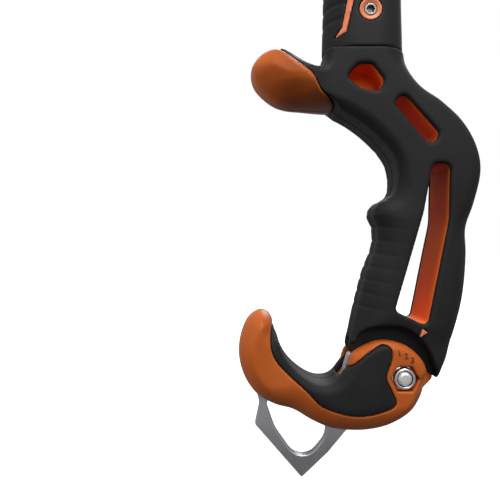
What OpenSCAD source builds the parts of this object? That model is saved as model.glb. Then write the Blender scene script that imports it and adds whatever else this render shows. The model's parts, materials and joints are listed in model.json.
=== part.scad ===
// Ice tool with a bent shaft, a hollow offset handle and an adjustable hooked grip rest.
// Units are millimetres. The tool stands upright, pick towards -X, back towards +X, thickness along Y.
// The origin is the centre of the clip-in eye through the head.

/* [Layout] */
// Distance from the eye down to the grip rest's pivot
eye_to_pivot = 436; // [420:1:450]
// How far the pivot lies behind the eye
pivot_back = 56; // [54:0.5:58]
// Angle that the top of the shaft leans forward
shaft_lean = 16; // [15:0.5:17]
// Radius of the shaft's bend, at its centre line
bend_r = 280; // [270:5:290]

/* [Shaft] */
// Depth of the shaft tube, front to back
shaft_w = 30; // [29:0.5:31]
// Thickness of the shaft tube
shaft_t = 20; // [19.5:0.5:21]
// Wall of the shaft tube
shaft_wall = 1.6; // [1.2:0.1:2]
// Depth of the rubber sleeve, front to back
sleeve_w = 33.8; // [33:0.2:35]
// Thickness of the rubber sleeve
sleeve_t = 26.2; // [25:0.2:27]
// Length of the rubber sleeve
sleeve_len = 98; // [80:1:105]

/* [Handle] */
// Thickness of the handle over its two grip shells
handle_t = 27.6; // [27:0.2:29]
// Thickness of the handle's core
core_t = 22.8; // [22:0.2:24]
// Cover of the grip shells over the core's edge
shell_edge = 3; // [2.6:0.1:3.2]
// Rounding of the grip shells' edges
shell_round = 3.5; // [3:0.1:3.6]
// Thickness across the flared finger rest
rest_t = 38; // [34:1:40]

/* [Grip rest] */
// Thickness of the grip rest
griprest_t = 25.6; // [25:0.2:27]
// Turn from the widest setting to the narrowest
griprest_travel = 26; // [20:1:26]
// Number of settings marked beside the pivot
settings = 3; // [2:1:4]
// Thickness of the steel spike plate
plate_t = 4; // [3:0.5:4]
// Diameter of the pivot bolt
bolt_d = 6; // [5:0.5:6]
// Width across the flats of the lock nut
nut_af = 10; // [9:0.5:10]

/* [Head] */
// Thickness of the head
head_t = 20; // [18:0.5:21]
// Diameter of the clip-in eye
eye_d = 15; // [13:0.5:16]
// Reach of the pick in front of the head
pick_reach = 134; // [120:1:140]
// Thickness of the pick
pick_t = 4; // [3:0.5:4]
// Number of teeth under the pick
pick_teeth = 15; // [10:1:18]

/* [Hidden] */
$fn = 48;
running = 0.05;   // radial clearance of a shaft in a turning bore
loose = 0.1;      // clearance between parts that are fixed together
sweep_gap = 0.7;  // room left around the grip rest over its travel
beyond = 20;      // a distance past both faces, for cuts that go right through
recess_wall = 1.7;    // shell material between the recess and the core
window_lip = 0.25;    // how far the core shows inside the shells' windows
thumb_web = 2.8;      // web of the core that closes the upper window

// Layers from the middle plane outwards, at the pivot
plate_half = plate_t / 2;
ear_in = plate_half + 0.2;
ear_out = ear_in + 2.6;
web_out = ear_out + 1;
cheek_in = web_out + 0.35;
rest_half = griprest_t / 2;
handle_half = handle_t / 2;
core_half = core_t / 2;
fork_r = 25.5;    // the fork's slot, about the pivot
washer_r = 8.2;
nut_seat = 7.8;
head_seat = 9;

// Fasteners
bolt_head = [10.8, 3.4];        // diameter and height of the pivot bolt's head
bolt_key = 4;
cross_bolt_d = 4;
cross_head_d = 5.2;
cross_key = 2.5;
rest_pin_d = 4;                 // pins through the spike plate
rest_pin_half = 8.8;
screw_d = 3;                    // screws that hold the grip rest's halves together
screw_head_d = 5.4;
screw_key = 2.2;
pick_bolt_d = 6;
pick_head = [10, 3];            // diameter and height of the pick bolts' heads and nuts
pick_key = 4;

// Places on the handle, measured from the pivot: X is backwards, the second value is up
joint_z = 138;    // where the sleeve meets the handle
block_z = 127;    // foot of the block that closes the top of the core
axis_x = -15.5;   // centre line of the shaft's straight stretch
bend_z = 250;     // where the bend starts
cross_at = [-14.5, 153.5];
index_mark = [7.2, 19.4];

// Upper end of the bend, from the eye, then the same along the leaning shaft: U is backwards, W is up
bend_end_x = pivot_back + axis_x - bend_r * (1 - cos(shaft_lean));
bend_end_z = bend_z + bend_r * sin(shaft_lean) - eye_to_pivot;
tang_u = bend_end_x * cos(shaft_lean) + bend_end_z * sin(shaft_lean);
bend_end_w = bend_end_z * cos(shaft_lean) - bend_end_x * sin(shaft_lean);
seat_w = -31;     // where the head sits on the end of the shaft
shaft_past = seat_w - bend_end_w;

// ---------- outlines ----------

// Smooth curve through the points, with n steps from each to the next; an open one stops at the last point
function smooth(p, n = 3, closed = true) = [
  for (i = [0 : len(p) - (closed ? 1 : 2)])
    let (a = p[(i + len(p) - 1) % len(p)], b = p[i], c = p[(i + 1) % len(p)], d = p[(i + 2) % len(p)])
      for (k = [0 : n - 1])
        let (t = k / n)
          0.5 * (2 * b + (c - a) * t + (2 * a - 5 * b + 4 * c - d) * t * t + (3 * b - a - 3 * c + d) * t * t * t)
];

function unit(v) = v / norm(v);
function bearing(v) = atan2(v[1], v[0]);
function polar(r, angle) = r * [cos(angle), sin(angle)];
function short_way(turn) = turn > 180 ? turn - 360 : turn < -180 ? turn + 360 : turn;

// Polygon with its corners rounded: each point is [x, z, radius]
function fillet(p, steps = 5) = [
  for (i = [0 : len(p) - 1])
    let (
      here = [p[i][0], p[i][1]],
      before = p[(i + len(p) - 1) % len(p)],
      after = p[(i + 1) % len(p)],
      r = p[i][2],
      back = unit([before[0], before[1]] - here),
      ahead = unit([after[0], after[1]] - here),
      half = acos(back * ahead) / 2,
      centre = here + unit(back + ahead) * r / sin(half),
      start = bearing(here + back * r / tan(half) - centre),
      turn = short_way(bearing(here + ahead * r / tan(half) - centre) - start)
    )
      for (k = [0 : steps])
        centre + r * [cos(start + turn * k / steps), sin(start + turn * k / steps)]
];

// The outline in clockwise order as seen from the front, as inset() needs it
function clockwise(p) =
  let (turns = [for (i = [0 : len(p) - 1]) cross(p[i], p[(i + 1) % len(p)])], ones = [for (q = p) 1])
    turns * ones > 0 ? [for (i = [len(p) - 1 : -1 : 0]) p[i]] : p;

// Outline moved inwards by d; the points run clockwise seen from the front
function inset(p, d) = [
  for (i = [0 : len(p) - 1])
    let (
      a = unit(p[i] - p[(i + len(p) - 1) % len(p)]),
      b = unit(p[(i + 1) % len(p)] - p[i]),
      m = unit(a + b),
      stretch = 1 / max(0.6, m * a)
    )
      p[i] + d * stretch * [m[1], -m[0]]
];

// Handle, clockwise: down the back from the sleeve, along the foot, up the front, and round the horn
back_points = [[1.9, 138], [3.4, 131], [8, 122.8], [16, 116.5], [24.4, 108.5], [30.3, 98.5], [32.7, 87],
               [30.6, 73.5], [27.6, 63], [27.8, 51], [26.3, 34], [22.2, 18]];
foot_points = [[17.2, 6], [13.5, -0.3], [7, 6.5], [-3, 10], [-13, 9.5], [-21.6, 10.8]];
front_points = [[-20.6, 19], [-17.8, 31.8], [-14.4, 44.5], [-10.4, 55], [-10.1, 63], [-12.1, 69.5], [-9, 74.2],
                [-3.6, 77.4], [-1.9, 84], [-3.6, 92.9], [-10.5, 101.6], [-19.6, 109], [-28, 113.5]];
horn_points = [[-30.5, 121], [-36, 127], [-45, 133.4], [-51, 137.6], [-49.6, 138.9], [-44.4, 136], [-38, 131.6],
               [-34.6, 131.6], [-33, 134.5], [-32.8, 138]];
handle_outline = concat(smooth(concat(back_points, foot_points, front_points, horn_points), 2, false),
                        [[-32.8, 138]]);
// The same without the horn and the thin foot, for what is inset from it
body_outline = concat(smooth(concat(back_points, [[13, 12], [0, 15], [-12, 15]], front_points,
                                    [[-31, 120], [-32.8, 128], [-32.8, 138]]), 2, false), [[-32.8, 138]]);
core_outline = inset(body_outline, shell_edge);

// Windows through the handle
window_thumb = fillet([[-24.6, 125.4, 2], [-19.6, 131.4, 4], [-13.6, 131.4, 4], [-8.2, 124.4, 3],
                       [-11, 119, 3], [-19, 121, 3]]);
window_slot = fillet([[-4.8, 114.4, 2.4], [-1, 119.8, 2.8], [14.8, 101.8, 2.8], [10.4, 96.4, 2.8]]);
window_long = fillet([[11.2, 90, 3], [19, 90, 3.4], [18.4, 66, 30], [9.4, 21.6, 2.6], [-4.6, 28.2, 2.6],
                      [7.4, 69.5, 30]]);
windows = [window_thumb, window_slot, window_long];

finger_rest_outline = clockwise(smooth([[-52, 141.6], [-57, 142.2], [-62.4, 138.6], [-64.8, 132], [-63, 124.8],
                              [-56.6, 117.6], [-50, 114.6], [-41, 114], [-31, 113.4], [-27, 117.2],
                              [-31.6, 122.4], [-35.4, 129.6], [-44, 136]], 3));

// Grip rest: round the pivot, over the top, round the inside of the hook, its tip and the underside
griprest_outline = clockwise(smooth([[10.7, 1], [8.6, 7], [3.4, 12.4], [-3, 15.2], [-10, 15.8], [-16.4, 13.4],
                           [-21.6, 9.8], [-24.4, 3], [-29, -2], [-35.4, -2.6], [-42, 0.6], [-48, 6.2],
                           [-51.8, 13], [-54, 21.4], [-56.4, 26.4], [-61, 27.6], [-65.8, 23.8],
                           [-68.9, 15.6], [-69.3, 7], [-66.8, -1.6], [-61.6, -8.8], [-54, -13.2],
                           [-46, -15.4], [-38, -20], [-30, -23.2], [-20, -24.3], [-10, -23.4],
                           [-1, -20], [5.6, -15], [9.6, -8]], 2));
griprest_pad_outline = clockwise(smooth([[-54.9, 21.4], [-55.8, 14], [-53.4, 7.2], [-47, 0.4], [-40.6, -5.4],
                               [-35, -11.2], [-28, -14.2], [-19, -15.8], [-10, -14.2], [-3.8, -10.6],
                               [-5.8, -4.6], [-7.8, 0.6], [-5.6, 8], [-6, 12.6], [-9.6, 14],
                               [-15.4, 10.4], [-21.2, 5.8], [-26, 3], [-31, 2], [-36, 2],
                               [-41, 4.6], [-46, 9], [-49.4, 14.6], [-51.6, 21]], 2));
spike_outline = clockwise(fillet([[9, 1, 5], [7, 9, 5], [-8, 8, 4], [-21.6, 9.4, 2], [-24.4, 0, 4], [-30, -7.6, 6],
                        [-46, -7.6, 8], [-56, 4, 2], [-63, -3, 2], [-60.4, -13, 6], [-62.4, -22.4, 1.6],
                        [-42, -45.6, 0.8], [-30.6, -34.8, 8], [-21.6, -24, 1], [-8, -12, 8], [6, -8, 5]]));
spike_hole = fillet([[-58.6, -10, 3], [-53.6, -24, 14], [-42, -40.6, 7.4], [-31, -27, 9], [-32, -19, 2],
                     [-46, -11.6, 4]]);

// Recess that the grip rest turns up into
recess_outline = clockwise(smooth([[-17, 8], [-19.4, 13], [-18.8, 17.4], [-15.6, 20.6], [-11, 22], [-5.5, 22.3],
                                   [-0.8, 21.6], [3.6, 19.4], [7.4, 16], [10.4, 11.6], [12.6, 6.4], [13.6, 1],
                                   [8, -6], [-10, -6]], 2));

module at_pivot() translate([pivot_back, 0, -eye_to_pivot]) children();
module at_head() rotate([0, -shaft_lean, 0]) children();

// Extrude an outline drawn in X and Z between two Y planes
module plate(path, y0, y1) translate([0, y1, 0]) rotate([90, 0, 0]) linear_extrude(y1 - y0) polygon(path);

// Cylinder along Y between two Y planes, at [x, z]
module rod(at, d, y0, y1) translate([at[0], y1, at[1]]) rotate([90, 0, 0]) cylinder(d = d, h = y1 - y0);

// Hexagon along Y, with two flats level
module hex(at, across, y0, y1)
  translate([at[0], y1, at[1]]) rotate([90, 0, 0]) cylinder(d = across / cos(30), h = y1 - y0, $fn = 6);

// Layers of a slab whose edge steps in towards its outer face, on one side of the middle plane or on both
steps_in = [0, 0.3, 0.8];    // how far each layer is inset, as a share of the rounding
steps_up = [0.7, 0.3, 0];    // how far each layer ends short of the outer face
module stepped_slab(path, half, round, side = 0, first = 0)
  for (k = [first : len(steps_in) - 1]) {
    top = half - steps_up[k] * round;
    plate(inset(path, steps_in[k] * round), side > 0 ? 0 : -top, side < 0 ? 0 : top);
  }

// Flat-sided oval w deep and t thick
module oval(w, t) {
  square([w - t, t], center = true);
  for (side = [-1, 1]) translate([side * (w - t) / 2, 0]) circle(d = t);
}

// ---------- shaft ----------

module tube_section() difference() {
  $fn = 32;
  oval(shaft_w, shaft_t);
  oval(shaft_w - 2 * shaft_wall, shaft_t - 2 * shaft_wall);
}

module shaft_tube() color("#3a3b3e") difference() {
  at_pivot() {
    translate([axis_x, 0, joint_z]) linear_extrude(bend_z - joint_z) tube_section();
    translate([axis_x - bend_r, 0, bend_z]) rotate([90, 0, 0])
      rotate_extrude(angle = shaft_lean, $fn = 96) translate([bend_r, 0]) tube_section();
    translate([axis_x - bend_r, 0, bend_z]) rotate([0, -shaft_lean, 0]) translate([bend_r, 0, 0])
      linear_extrude(shaft_past) tube_section();
  }
  at_pivot() rod(cross_at, cross_bolt_d + 2 * loose, -shaft_t, shaft_t);
  for (w = pin_places) at_head() rod([tang_u, w], pin_d, -shaft_t, shaft_t);
}

module sleeve_oval(grow, z0, z1)
  translate([axis_x, 0, z0]) linear_extrude(z1 - z0) oval(sleeve_w + 2 * grow, sleeve_t + 2 * grow);

stripe_outline = fillet([[-29.4, 142, 0.4], [-24.4, 144.2, 1], [-21.2, 158, 6], [-21.2, 196, 6], [-15, 214, 0.6],
                         [-18, 214, 0.6], [-24, 196, 6], [-24, 158, 6], [-26, 146.6, 1]], 3);
sleeve_z = joint_z + 0.15;
sleeve_step = [1, 6];     // how far the sleeve's upper end steps in, and over what length
sleeve_ribs = 12;
rib_first = 12;
rib_pitch = 6.5;
rib_d = 2.4;
rib_half = 8;
stripe_depth = 1.2;

module upper_grip() color("#26262a") at_pivot() difference() {
  union() {
    sleeve_oval(0, sleeve_z, sleeve_z + sleeve_len - sleeve_step[1]);
    sleeve_oval(-sleeve_step[0], sleeve_z + sleeve_len - sleeve_step[1], sleeve_z + sleeve_len);
  }
  translate([axis_x, 0, joint_z]) linear_extrude(sleeve_len + beyond) oval(shaft_w + loose, shaft_t + loose);
  for (k = [0 : sleeve_ribs - 1])
    rod([axis_x - sleeve_w / 2 - 0.5, sleeve_z + rib_first + rib_pitch * k], rib_d, -rib_half, rib_half);
  rod(cross_at, collar_d + loose, -sleeve_t, sleeve_t);
  for (side = [-1, 1]) stripe_body(side, loose / 2);
}

module stripe_body(side, grow) difference() {
  plate(stripe_outline, side > 0 ? 0 : -beyond, side > 0 ? beyond : 0);
  sleeve_oval(-stripe_depth - grow, joint_z, sleeve_z + sleeve_len);
}

module grip_stripe(side) color("#eb8058") at_pivot() intersection() {
  stripe_body(side, 0);
  sleeve_oval(0, sleeve_z, sleeve_z + sleeve_len);
}
module grip_stripe_left() grip_stripe(-1);
module grip_stripe_right() grip_stripe(1);

// Orange ring round each end of the cross bolt
collar_d = 9.2;
collar_proud = 0.3;
module collar(side) color("#eb8058") at_pivot() difference() {
  rod(cross_at, collar_d, side > 0 ? shaft_t / 2 + loose : -sleeve_t / 2 - collar_proud,
      side > 0 ? sleeve_t / 2 + collar_proud : -shaft_t / 2 - loose);
  rod(cross_at, cross_head_d + 2 * loose, -beyond, beyond);
}
module collar_left() collar(-1);
module collar_right() collar(1);

cross_end = 11.4;    // where the bolt ends inside its nut
module cross_bolt() color("#c4c6ca") at_pivot() difference() {
  union() {
    rod(cross_at, cross_bolt_d, -sleeve_t / 2, cross_end);
    rod(cross_at, cross_head_d, -sleeve_t / 2 - loose, -shaft_t / 2 - loose);
  }
  hex(cross_at, cross_key, -beyond, -sleeve_t / 2 + 1.8);
}
module cross_nut() color("#c4c6ca") at_pivot() difference() {
  rod(cross_at, cross_head_d, shaft_t / 2 + loose, sleeve_t / 2 + loose);
  rod(cross_at, cross_bolt_d + 2 * running, 0, cross_end + 0.6);
  hex(cross_at, cross_key, cross_end + loose, beyond);
}

// ---------- handle ----------

// What the grip rest sweeps over its travel, with room round it
module griprest_sweep(grow, y0, y1) {
  grown = inset(griprest_outline, -grow);
  translate([0, y1, 0]) rotate([90, 0, 0]) linear_extrude(y1 - y0)
    for (k = [0 : 3]) rotate(-griprest_travel * k / 3) polygon(grown);
}

module pivot_bore() rod([0, 0], bolt_d + 2 * running, -beyond, beyond);

ear_outline = clockwise(fillet([[13.8, -1.8, 1.4], [16, 10, 2], [20, 34, 2], [-10.6, 42, 2], [-15.5, 24, 2],
                                [-17.5, 13, 3], [-11.4, 4, 3], [-11.4, -6, 5], [-4, -11.4, 5], [5, -11, 5]]));

module window_cuts(shrink) for (w = windows) plate(inset(w, shrink), -beyond, beyond);

// Tenon that fits inside the shaft tube
module tenon_section() oval(shaft_w - 2 * shaft_wall - 2 * loose, shaft_t - 2 * shaft_wall - 2 * loose);
block_overlap = 2;
core_tenon = 42;
head_tenon = 44;

// Block that closes the top of the core, up to a height above the pivot
module core_block(top) translate([axis_x, 0, block_z]) linear_extrude(top - block_z) oval(shaft_w - 1, shaft_t);

// Solid of the core: the body inside the shells and the ears at the pivot
module core_solid() {
  difference() {
    plate(core_outline, -core_half, core_half);
    griprest_sweep(sweep_gap + recess_wall, -beyond, beyond);
    plate(inset(recess_outline, -recess_wall), -beyond, beyond);
  }
  plate(ear_outline, -ear_out, ear_out);
}

module handle_core() color("#c35d2f") at_pivot() difference() {
  union() {
    core_solid();
    core_block(joint_z);
    translate([axis_x, 0, joint_z - block_overlap]) linear_extrude(core_tenon) tenon_section();
  }
  difference() {
    window_cuts(window_lip);
    plate(inset(window_thumb, -1), -thumb_web / 2, thumb_web / 2);
  }
  rod([0, 0], 2 * fork_r + 1, -ear_in, ear_in);
  pivot_bore();
  rod(cross_at, cross_bolt_d + 2 * loose, -beyond, beyond);
}

horn_half = handle_half - steps_up[0] * shell_round;
module grip_shell(side) color("#232326") at_pivot() difference() {
  union() {
    plate(handle_outline, side > 0 ? 0 : -horn_half, side > 0 ? horn_half : 0);
    stepped_slab(body_outline, handle_half, shell_round, side, 1);
  }
  core_solid();
  core_block(joint_z + beyond);
  window_cuts(0);
  rod([0, 0], 2 * fork_r + 1, -ear_in, ear_in);
  griprest_sweep(sweep_gap, side > 0 ? web_out : -beyond, side > 0 ? beyond : -web_out);
  plate(recess_outline, side > 0 ? web_out : -beyond, side > 0 ? beyond : -web_out);
  plate(inset(finger_rest_outline, -loose), -beyond, beyond);
  mark_cut(side);
}
module grip_left() grip_shell(-1);
module grip_right() grip_shell(1);

// Triangle that points at the chosen setting
mark_depth = 0.8;
mark_r = 1.9;
mark_turn = -110;
module mark_prism(side, grow, proud) {
  size = mark_r + grow;
  translate([index_mark[0], side > 0 ? handle_half + proud : -handle_half + mark_depth + grow, index_mark[1]])
    rotate([90, 0, 0]) rotate(mark_turn) linear_extrude(mark_depth + grow + proud)
      polygon([for (a = [0, 120, 240]) size * [cos(a), sin(a)]]);
}
module mark_cut(side) mark_prism(side, loose / 2, 1);
module index_mark_left() color("#eb8058") at_pivot() mark_prism(-1, 0, 0);
module index_mark_right() color("#eb8058") at_pivot() mark_prism(1, 0, 0);

rest_step = [1.5, 3];    // how far the pad's outer layers step in, along the outline and across the thickness
module finger_rest_pad() color("#c86438") at_pivot()
  difference() {
    union() {
      plate(finger_rest_outline, rest_step[1] - rest_t / 2, rest_t / 2 - rest_step[1]);
      plate(inset(finger_rest_outline, rest_step[0]), -rest_t / 2, rest_t / 2);
    }
    plate([[-20, 140], [-20, 100], [-27.6, 112], [-29.6, 121], [-35, 128.5], [-44, 134], [-50, 138],
           [-48, 150]], -beyond, beyond);
  }

// ---------- grip rest ----------

griprest_round = 4;
head_pocket_d = 11.4;    // round pocket for the bolt's head
screw_seat = 9;
dimple = [1.4, 0.4];     // diameter and depth of the settings' marks
dimple_r = 9.8;
first_setting = 70;
module griprest_shell(side) color("#c86438") at_pivot() difference() {
  stepped_slab(griprest_outline, rest_half, griprest_round, side);
  griprest_pad_solid();
  plate(inset(spike_outline, -loose), -plate_half, plate_half);
  rod([0, 0], 2 * fork_r, -cheek_in, cheek_in);
  pivot_bore();
  hex([0, 0], nut_af + 4 * loose, -beyond, -nut_seat);
  rod([0, 0], head_pocket_d, head_seat, beyond);
  for (p = pin_spots) rod(p, rest_pin_d + 2 * running, -rest_pin_half - 0.2, rest_pin_half + 0.2);
  for (p = screw_spots) {
    rod(p, screw_d + 2 * loose, -screw_end - 0.2, beyond);
    rod(p, screw_head_d + 2 * loose, screw_seat, beyond);
  }
  for (k = [0 : settings - 1]) {
    spot = polar(dimple_r, first_setting + griprest_travel * k / (settings - 1));
    rod(spot, dimple[0], rest_half - dimple[1], beyond);
    rod(spot, dimple[0], -beyond, -rest_half + dimple[1]);
  }
}
module griprest_left() griprest_shell(-1);
module griprest_right() griprest_shell(1);

pin_spots = [[-30, -13], [-56, -3.4]];
screw_spots = [[-62.4, 8], [-22, -20]];
pad_cover = 2.2;   // how deep the pad lies in the grip rest
screw_end = 7.8;   // how far the screws reach into the other half

// The pad covers the inside of the hook and both sides, and clears the fork's slot
module griprest_pad_solid() difference() {
  intersection() {
    plate(griprest_pad_outline, -rest_half - loose, rest_half + loose);
    plate(griprest_outline, -beyond, beyond);
  }
  plate(inset(griprest_outline, pad_cover), -rest_half + pad_cover, rest_half - pad_cover);
}
module griprest_pad() color("#232326") at_pivot() difference() {
  griprest_pad_solid();
  rod([0, 0], 2 * fork_r, -cheek_in, cheek_in);
}

module spike() color("#8d8f95") at_pivot() difference() {
  plate(spike_outline, -plate_half, plate_half);
  plate(spike_hole, -beyond, beyond);
  pivot_bore();
  for (p = pin_spots) rod(p, rest_pin_d + 2 * running, -beyond, beyond);
  for (p = screw_spots) rod(p, screw_d + 2 * loose, -beyond, beyond);
}
module spike_pins() color("#b8babf") at_pivot()
  for (p = pin_spots) rod(p, rest_pin_d, -rest_pin_half, rest_pin_half);

module shell_screws() color("#b8babf") at_pivot() for (p = screw_spots) difference() {
  union() {
    rod(p, screw_d, -screw_end, screw_seat + 1);
    rod(p, screw_head_d, screw_seat, screw_seat + 2.2);
  }
  hex(p, screw_key, screw_seat + 0.8, beyond);
}

module thrust_washers() color("#b8babf") at_pivot() for (side = [-1, 1]) difference() {
  y = side > 0 ? ear_out + loose : -cheek_in;
  rod([0, 0], 2 * washer_r, y, y + cheek_in - ear_out - loose);
  pivot_bore();
}

module pivot_bolt() color("#c4c6ca") at_pivot() difference() {
  union() {
    rod([0, 0], bolt_d, -rest_half - 0.2, head_seat + 1);
    rod([0, 0], bolt_head[0], head_seat, head_seat + bolt_head[1]);
  }
  hex([0, 0], bolt_key, head_seat + 1.2, beyond);
}
nut_top = -rest_half + 0.3;
ring_depth = 1.4;    // seat of the nylon ring in the nut's end
ring_d = bolt_d + 2.4;
module lock_nut() color("#d2d4d8") at_pivot() difference() {
  union() {
    hex([0, 0], nut_af, nut_top + 2.6, -nut_seat);
    rod([0, 0], nut_af - 1, nut_top, -nut_seat - 1);
  }
  pivot_bore();
  rod([0, 0], ring_d, -beyond, nut_top + ring_depth);
}
module nylon_ring() color("#3b3f6b") at_pivot() difference() {
  rod([0, 0], ring_d - loose, nut_top + loose, nut_top + ring_depth - running);
  pivot_bore();
}

// ---------- head ----------

pin_d = 4;
pin_places = [-42, -58];
bolt_places = [[-20, 4], [29, 5]];

head_outline = fillet([[-14, seat_w, 1], [-16, -18, 8], [-30, -8, 6], [-30, 10, 8], [-20, 18, 10],
                       [12, 19, 10], [21, 13, 5], [21, -8, 5], [17, -16, 8], [16.4, seat_w, 1]]);

module head() color("#4a4c50") at_head() difference() {
  union() {
    plate(head_outline, -head_t / 2, head_t / 2);
    translate([tang_u, 0, seat_w + block_overlap - head_tenon]) linear_extrude(head_tenon) tenon_section();
  }
  translate([-60, -pick_t / 2, -11]) cube([120, pick_t, 60]);
  rod([0, 0], eye_d, -beyond, beyond);
  pick_bolt_seat(bolt_places[0]);
  for (w = pin_places) rod([tang_u, w], pin_d, -beyond, beyond);
}

// Hole for a pick bolt, with pockets for its head and its nut
module pick_bolt_seat(at) {
  rod(at, pick_bolt_d + 2 * loose, -beyond, beyond);
  rod(at, pick_head[0] + 4 * loose, -beyond, -head_t / 2 + pick_head[1]);
  hex(at, pick_head[0] + 4 * loose, head_t / 2 - pick_head[1], beyond);
}

// Pick: a curved blade with saw teeth along its lower edge
function pick_top(t) = [-26 - pick_reach * t, 12 + 4 * t - 34 * t * t];
function pick_low(t) = pick_top(t) - [2 - 6 * t, 21 - 14 * t];
tooth = 3;
pick_blade = concat(
  [[36, 12], [36, -2], [20, -9], [-22, -9]],
  [for (k = [0 : pick_teeth - 1])
    let (t = 0.2 + 0.74 * k / pick_teeth, gullet = 0.2 + 0.74 * (k + 0.35) / pick_teeth)
      each [pick_low(t) + [0, -tooth / 2], pick_low(gullet) + [0, tooth / 2]]],
  [pick_low(0.94) + [0, -tooth / 2], pick_top(1) + [-3, -9]],
  [for (k = [12 : -1 : 0]) pick_top(k / 12)]
);

module pick() color("#9a9ca2") at_head() difference() {
  plate(pick_blade, -pick_t / 2, pick_t / 2);
  rod([0, 0], eye_d + 1, -beyond, beyond);
  for (p = bolt_places) rod(p, pick_bolt_d + 2 * loose, -beyond, beyond);
}

hammer_outline = fillet([[21.2, 14, 1], [46, 17, 2], [56, 18, 2], [56, -8, 2], [46, -7, 2], [32, -7, 6],
                         [21.2, -9, 1]]);
module hammer() color("#5a5c60") at_head() difference() {
  plate(hammer_outline, -head_t / 2, head_t / 2);
  translate([10, -pick_t / 2, -9]) cube([26.1, pick_t, 30]);
  pick_bolt_seat(bolt_places[1]);
}

module pick_bolts() color("#c4c6ca") at_head() for (p = bolt_places) difference() {
  union() {
    rod(p, pick_bolt_d, -head_t / 2, head_t / 2);
    rod(p, pick_head[0], -head_t / 2 - 0.2, -head_t / 2 + pick_head[1]);
  }
  hex(p, pick_key, -beyond, -head_t / 2 + 2);
}
module pick_nuts() color("#d2d4d8") at_head() for (p = bolt_places) difference() {
  hex(p, pick_head[0], head_t / 2 - pick_head[1], head_t / 2 + 1.2);
  rod(p, pick_bolt_d + 2 * running, -beyond, beyond);
}
module head_pins() color("#b8babf") at_head()
  for (w = pin_places) rod([tang_u, w], pin_d, -shaft_t / 2 - 0.3, shaft_t / 2 + 0.3);

head();
pick();
pick_bolts();
pick_nuts();
hammer();
head_pins();
shaft_tube();
upper_grip();
grip_stripe_left();
grip_stripe_right();
collar_left();
collar_right();
cross_bolt();
cross_nut();
handle_core();
grip_left();
grip_right();
finger_rest_pad();
index_mark_left();
index_mark_right();
griprest_left();
griprest_right();
griprest_pad();
spike();
spike_pins();
shell_screws();
thrust_washers();
pivot_bolt();
lock_nut();
nylon_ring();
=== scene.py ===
"""Looks of an ice tool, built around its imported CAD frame.

Each visible piece is described by a distance field (negative inside the material, in millimetres) and
meshed where the field crosses zero, so mouldings get their real rounded shapes. Handle and grip rest use
millimetres from the grip rest's pivot; the head uses millimetres from the clip-in eye, along its lean.
"""

import json
import math

import bpy
import numpy as np
from mathutils import Matrix, Vector


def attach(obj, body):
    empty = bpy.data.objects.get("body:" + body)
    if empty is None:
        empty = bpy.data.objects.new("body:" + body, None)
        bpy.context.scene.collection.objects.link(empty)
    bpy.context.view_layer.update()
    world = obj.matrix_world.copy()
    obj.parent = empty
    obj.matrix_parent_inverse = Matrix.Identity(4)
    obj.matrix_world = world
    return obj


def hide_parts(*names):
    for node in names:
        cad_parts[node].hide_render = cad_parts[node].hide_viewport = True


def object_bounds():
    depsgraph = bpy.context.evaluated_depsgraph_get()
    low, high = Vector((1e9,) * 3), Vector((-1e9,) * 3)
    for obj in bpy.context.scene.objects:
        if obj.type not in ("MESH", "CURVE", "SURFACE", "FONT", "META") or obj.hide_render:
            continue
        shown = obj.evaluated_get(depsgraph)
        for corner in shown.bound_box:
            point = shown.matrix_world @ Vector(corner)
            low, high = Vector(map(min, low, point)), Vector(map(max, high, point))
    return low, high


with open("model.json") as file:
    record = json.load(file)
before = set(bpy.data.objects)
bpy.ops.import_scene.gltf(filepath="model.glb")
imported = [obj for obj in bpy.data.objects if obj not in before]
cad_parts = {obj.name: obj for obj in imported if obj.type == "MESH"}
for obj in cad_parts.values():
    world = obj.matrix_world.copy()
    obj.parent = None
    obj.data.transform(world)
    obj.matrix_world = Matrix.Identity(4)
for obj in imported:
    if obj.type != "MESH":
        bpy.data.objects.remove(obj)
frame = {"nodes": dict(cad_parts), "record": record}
cad_low, cad_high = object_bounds()

# ---- sizes, in millimetres
MM = 0.001
PIVOT = Vector(frame["record"]["behaviour"]["joints"][0]["pos_m"]) / MM
SHAFT_LEAN = math.radians(16)  # how far the head end leans forward
SHAFT_W, SHAFT_T, SHAFT_WALL = 30.0, 20.0, 1.6
BEND_R, BEND_Z, AXIS_X = 280.0, 250.0, -15.5
SEAT_W = -31.0  # where the head sits on the shaft, along the lean
SLEEVE_W, SLEEVE_T = 33.8, 26.2
JOINT_Z = 138.0  # where the sleeve meets the handle
SLEEVE_TOP = JOINT_Z + 0.15 + 98
CROSS_AT = (-14.5, 153.5)
HANDLE_HALF, CORE_HALF, SHELL_EDGE = 13.8, 11.4, 3.0
REST_HALF = 12.8  # half the grip rest's thickness
PAD_HALF = 19.0  # half the finger rest's width
PLATE_HALF = 2.0  # half the thickness of the spike plate and of the pick
SPIKE_BEVEL, PICK_BEVEL = 0.7, 0.3
EAR_IN, EAR_OUT = 2.2, 4.8
WEB_OUT, CHEEK_IN, FORK_R = 5.8, 6.15, 25.5
TRAVEL = 26  # degrees between the widest and the narrowest setting
BOLT_R, BOLT_PLAY = 3.0, 0.05  # the pivot bolt, and the room round it in its bores
BOLT_END = -REST_HALF - 0.2  # the bolt's threaded end, on the left
NUT_TOP, NUT_SEAT, BOLT_SEAT = -REST_HALF + 0.3, -7.8, 9.0  # lock nut's ends, and bolt head's seat
PARTING = 0.03  # left and right halves each keep this far from the middle plane
WEB_HALF = 1.4  # half the thickness of the web that closes the thumb window
NUT_FLATS = 10.0
HEAD_HALF, EYE_R = 10.0, 7.5
PICK_BOLT_R, PICK_BORE_R, PICK_HEAD_R, PICK_SEAT = 3.0, 3.1, 5, 3.0  # head's bolts, and how deep they sit
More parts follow.
